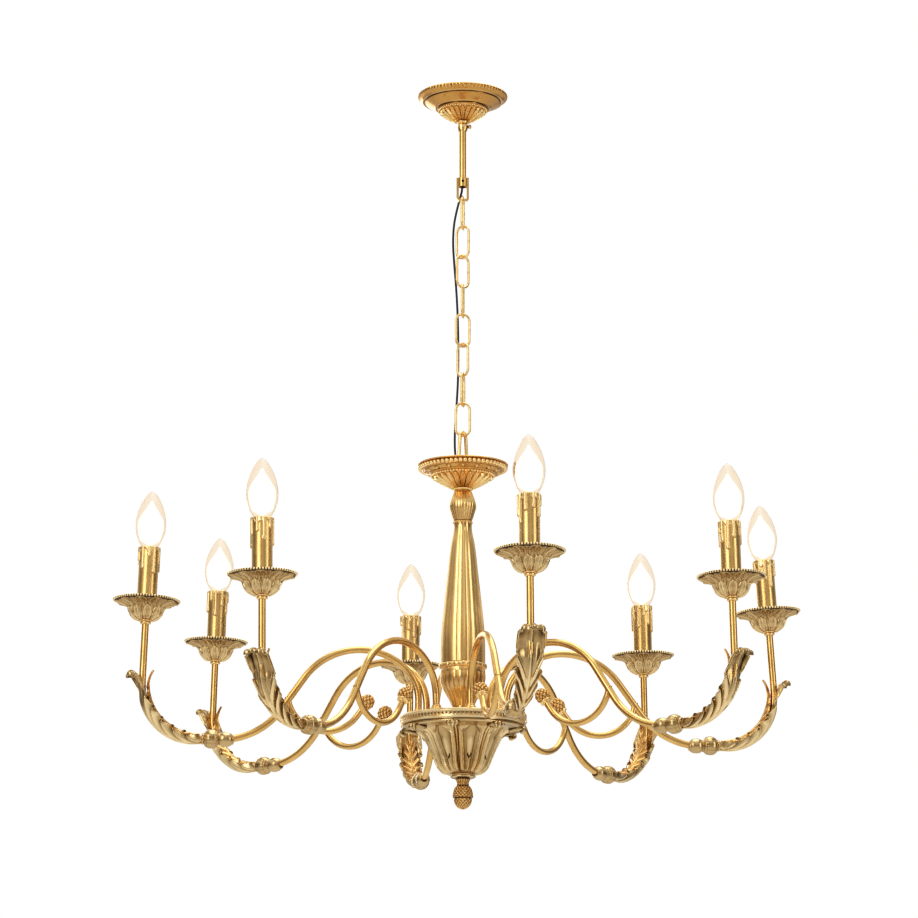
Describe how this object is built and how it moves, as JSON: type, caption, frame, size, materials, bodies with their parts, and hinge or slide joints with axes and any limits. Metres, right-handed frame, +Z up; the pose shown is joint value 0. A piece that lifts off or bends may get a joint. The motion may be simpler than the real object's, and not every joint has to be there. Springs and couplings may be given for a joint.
{
  "type": "multi arm chandelier",
  "caption": "Brass candle chandelier: curved leafed arms round a fluted column and acanthus bowl, hung on a link chain from a petalled ceiling plate.",
  "frame": {"origin": "middle of the ceiling crossbar's top face, between its two screw holes, at the ceiling", "axes": "+Z up out of the ceiling plate, +X along the crossbar to the right as seen from the front, -Y towards the viewer"},
  "size_m": [0.7747, 0.7771, 0.8334],
  "materials": {
    "plated_steel": "zinc plated",
    "dark_steel": "blackened",
    "black_cord": "matt black sheath",
    "white_plastic": "plain",
    "antique_brass": "antiqued khaki brass, satin",
    "dark_brass": "darkened brass, satin",
    "candle_brass": "lacquered, satin",
    "polished_brass": "warm gold, polished",
    "flame_glass": "clear, lit from inside"
  },
  "bodies": {
    "ceiling_mount": {"ceiling_crossbar": "plated_steel", "rod_top_nut": "plated_steel", "downrod": "polished_brass", "rod_yoke": "polished_brass", "yoke_screw": "dark_steel", "power_cord": "black_cord"},
    "canopy_set": {"ceiling_canopy": "polished_brass", "canopy_collar": "polished_brass"},
    "thumb_screw": {"thumb_screw": "polished_brass"},
    "link_1": {"chain_link_1": "polished_brass"},
    "link_2": {"chain_link_2": "polished_brass"},
    "link_3": {"chain_link_3": "polished_brass"},
    "link_4": {"chain_link_4": "polished_brass"},
    "link_5": {"chain_link_5": "polished_brass"},
    "link_6": {"chain_link_6": "polished_brass"},
    "link_7": {"chain_link_7": "polished_brass"},
    "link_8": {"chain_link_8": "polished_brass"},
    "lamp": {"top_loop": "polished_brass", "cord_grommet": "black_cord", "top_dish": "polished_brass", "neck_ring": "polished_brass", "column_ball": "polished_brass", "column_body": "polished_brass", "column_ring": "polished_brass", "column_foot": "polished_brass", "central_rod": "polished_brass", "arm_plate": "polished_brass", "bowl": "antique_brass", "wire_connector": "white_plastic", "arm_knops": "antique_brass", "outer_leaves": "antique_brass", "inner_leaves": "antique_brass", "curl_buds": "dark_brass", "bud_rings": "polished_brass", "cup_collars": "polished_brass", "bobeches": "antique_brass", "lamp_holders": "white_plastic", "candle_sleeves": "candle_brass", "arm_nuts": "plated_steel", "arm_tube_1": "polished_brass", "arm_tube_2": "polished_brass", "arm_tube_3": "polished_brass", "arm_tube_4": "polished_brass", "arm_tube_5": "polished_brass", "arm_tube_6": "polished_brass", "arm_tube_7": "polished_brass", "arm_tube_8": "polished_brass"},
    "bulb_1": {"bulb_1": "flame_glass"},
    "bulb_2": {"bulb_2": "flame_glass"},
    "bulb_3": {"bulb_3": "flame_glass"},
    "bulb_4": {"bulb_4": "flame_glass"},
    "bulb_5": {"bulb_5": "flame_glass"},
    "bulb_6": {"bulb_6": "flame_glass"},
    "bulb_7": {"bulb_7": "flame_glass"},
    "bulb_8": {"bulb_8": "flame_glass"},
    "finial": {"finial": "antique_brass"}
  },
  "joints": [
    {"name": "link_1_swing", "type": "hinge", "parent": "ceiling_mount", "child": "link_1", "pos_m": [0, 0, -0.127], "axis": [1, 0, 0], "range_deg": [-12, 12], "deforming": ["power_cord"]},
    {"name": "link_2_swing", "type": "hinge", "parent": "link_1", "child": "link_2", "pos_m": [0, 0, -0.1619], "axis": [0.1392, 0.9903, 0], "range_deg": [-12, 12], "deforming": ["power_cord"]},
    {"name": "link_3_swing", "type": "hinge", "parent": "link_2", "child": "link_3", "pos_m": [0, 0, -0.1969], "axis": [0.8387, -0.5446, 0], "range_deg": [-12, 12], "deforming": ["power_cord"]},
    {"name": "link_4_swing", "type": "hinge", "parent": "link_3", "child": "link_4", "pos_m": [0, 0, -0.2319], "axis": [0.8192, 0.5736, 0], "range_deg": [-12, 12], "deforming": ["power_cord"]},
    {"name": "link_5_swing", "type": "hinge", "parent": "link_4", "child": "link_5", "pos_m": [0, 0, -0.2669], "axis": [0.1045, 0.9945, 0], "range_deg": [-12, 12], "deforming": ["power_cord"]},
    {"name": "link_6_swing", "type": "hinge", "parent": "link_5", "child": "link_6", "pos_m": [0, 0, -0.3019], "axis": [0.9511, 0.309, 0], "range_deg": [-12, 12], "deforming": ["power_cord"]},
    {"name": "link_7_swing", "type": "hinge", "parent": "link_6", "child": "link_7", "pos_m": [0, 0, -0.3369], "axis": [0.7431, -0.6691, 0], "range_deg": [-12, 12], "deforming": ["power_cord"]},
    {"name": "link_8_swing", "type": "hinge", "parent": "link_7", "child": "link_8", "pos_m": [0, 0, -0.3719], "axis": [0.1908, 0.9816, 0], "range_deg": [-12, 12], "deforming": ["power_cord"]},
    {"name": "lamp_swing", "type": "hinge", "parent": "link_8", "child": "lamp", "pos_m": [0, 0, -0.4069], "axis": [1, 0, 0], "range_deg": [-12, 12], "deforming": ["power_cord"]},
    {"name": "canopy_slide", "type": "slide", "parent": "ceiling_mount", "child": "canopy_set", "axis": [0, 0, -1], "range_m": [0, 0.05]},
    {"name": "thumb_screw_turn", "type": "hinge", "parent": "canopy_set", "child": "thumb_screw", "pos_m": [0.008, 0, -0.0386], "axis": [1, 0, 0], "continuous": true},
    {"name": "bulb_1_unscrew", "type": "hinge", "parent": "lamp", "child": "bulb_1", "pos_m": [0.06862, -0.34924, -0.56748], "axis": [-0.0052, 0.0257, 0.9997], "continuous": true},
    {"name": "bulb_2_unscrew", "type": "hinge", "parent": "lamp", "child": "bulb_2", "pos_m": [0.28628, -0.21151, -0.56748], "axis": [-0.021, 0.0156, 0.9997], "continuous": true},
    {"name": "bulb_3_unscrew", "type": "hinge", "parent": "lamp", "child": "bulb_3", "pos_m": [0.34539, 0.05718, -0.55692], "axis": [-0.0602, -0.01, 0.9981], "continuous": true},
    {"name": "bulb_4_unscrew", "type": "hinge", "parent": "lamp", "child": "bulb_4", "pos_m": [0.21576, 0.28306, -0.56748], "axis": [-0.016, -0.0207, 0.9997], "continuous": true},
    {"name": "bulb_5_unscrew", "type": "hinge", "parent": "lamp", "child": "bulb_5", "pos_m": [-0.06339, 0.35025, -0.56748], "axis": [0.0047, -0.0257, 0.9997], "continuous": true},
    {"name": "bulb_6_unscrew", "type": "hinge", "parent": "lamp", "child": "bulb_6", "pos_m": [-0.28979, 0.20421, -0.56482], "axis": [0.0286, -0.0201, 0.9994], "continuous": true},
    {"name": "bulb_7_unscrew", "type": "hinge", "parent": "lamp", "child": "bulb_7", "pos_m": [-0.34975, -0.0579, -0.56482], "axis": [0.0344, 0.0057, 0.9994], "continuous": true},
    {"name": "bulb_8_unscrew", "type": "hinge", "parent": "lamp", "child": "bulb_8", "pos_m": [-0.21116, -0.29495, -0.58095], "axis": [-0.0102, -0.0142, 0.9998], "continuous": true},
    {"name": "finial_unscrew", "type": "hinge", "parent": "lamp", "child": "finial", "pos_m": [0, 0, -0.805], "axis": [0, 0, 1], "continuous": true}
  ]
}
